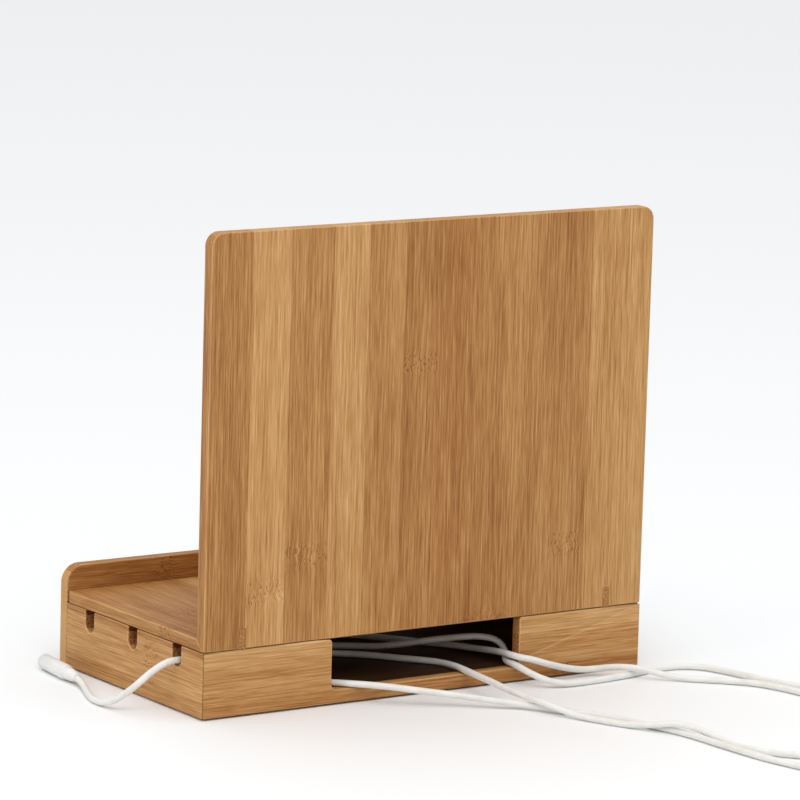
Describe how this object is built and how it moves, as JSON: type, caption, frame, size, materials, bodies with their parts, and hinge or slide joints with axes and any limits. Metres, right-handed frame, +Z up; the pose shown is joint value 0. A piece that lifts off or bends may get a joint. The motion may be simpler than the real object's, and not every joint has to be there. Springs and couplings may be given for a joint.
{
  "type": "laptop docking station",
  "caption": "Bamboo laptop and device stand: lift-off slotted rack with a tall back panel on a cable box with notches, a rear cable opening and white charging leads.",
  "frame": {"origin": "middle of the stand's footprint, on the surface that it stands on", "axes": "+X to the right as seen from the front, +Y to the rear, where the tall panel and the cable opening are, +Z up"},
  "size_m": [0.3956, 0.3947, 0.228],
  "materials": {
    "bamboo": "satin lacquered laminated bamboo",
    "bamboo_blocks": "plain sawn bamboo",
    "rubber_feet": "matt",
    "cord_jacket": "soft white cable jacket",
    "plug_plastic": "smooth white"
  },
  "bodies": {
    "base": {"bottom_board": "bamboo", "front_panel": "bamboo", "rear_wall": "bamboo", "right_wall": "bamboo", "left_wall": "bamboo", "glue_block_front_left": "bamboo_blocks", "glue_block_front_right": "bamboo_blocks", "glue_block_rear_left": "bamboo_blocks", "glue_block_rear_right": "bamboo_blocks", "foot_front_left": "rubber_feet", "foot_front_right": "rubber_feet", "foot_rear_left": "rubber_feet", "foot_rear_right": "rubber_feet", "lead_a_tube": "cord_jacket", "lead_b_tube": "cord_jacket", "lead_c_tube": "cord_jacket", "lead_d_tube": "cord_jacket", "lead_side_tube": "cord_jacket", "lead_a_coil": "cord_jacket", "lead_b_coil": "cord_jacket", "lead_c_coil": "cord_jacket", "lead_d_coil": "cord_jacket", "lead_a_plug": "plug_plastic", "lead_b_plug": "plug_plastic", "lead_c_plug": "plug_plastic", "lead_d_plug": "plug_plastic", "lead_a_device_plug": "plug_plastic", "lead_b_device_plug": "plug_plastic", "lead_d_device_plug": "plug_plastic", "laptop_connector": "plug_plastic"},
    "rack": {"tray_board": "bamboo", "rear_panel": "bamboo", "mitre_key_left": "bamboo_blocks", "mitre_key_right": "bamboo_blocks", "laptop_divider": "bamboo", "tablet_divider": "bamboo", "cleat_front": "bamboo_blocks", "cleat_rear_right": "bamboo_blocks", "cleat_rear_left": "bamboo_blocks"}
  },
  "joints": [
    {"name": "rack_lift", "type": "slide", "parent": "base", "child": "rack", "axis": [0, 0, 1], "range_m": [0, 0.06]}
  ]
}
